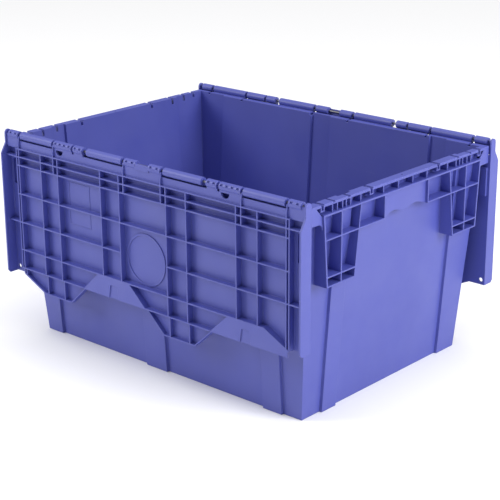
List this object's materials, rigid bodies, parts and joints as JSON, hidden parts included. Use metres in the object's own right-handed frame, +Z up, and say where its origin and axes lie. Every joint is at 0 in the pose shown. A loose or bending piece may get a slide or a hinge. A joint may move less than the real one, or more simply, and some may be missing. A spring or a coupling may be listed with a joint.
{
  "type": "attached lid storage tote",
  "caption": "Tapered plastic storage tote with two hinged lid halves that hang down its long sides and fold up to interlock along a zigzag seam.",
  "frame": {"origin": "middle of the underside, under the middle of the hanging-open tote's outline", "axes": "+X along the long sides, towards the end with the handle on the right; -Y is the front long side; +Z up"},
  "size_m": [0.709, 0.545, 0.389],
  "materials": {
    "tote_plastic": "satin",
    "rod_steel": "satin"
  },
  "bodies": {
    "crate": {"crate_body": "tote_plastic", "hinge_rod_front": "rod_steel", "hinge_rod_rear": "rod_steel"},
    "front_lid": {"lid_front": "tote_plastic"},
    "rear_lid": {"lid_rear": "tote_plastic"}
  },
  "joints": [
    {"name": "front_lid_hinge", "type": "hinge", "parent": "crate", "child": "front_lid", "pos_m": [0, -0.2545, 0.382], "axis": [-1, 0, 0], "range_deg": [0, 270]},
    {"name": "rear_lid_hinge", "type": "hinge", "parent": "crate", "child": "rear_lid", "pos_m": [0, 0.2545, 0.382], "axis": [1, 0, 0], "range_deg": [0, 270]}
  ]
}
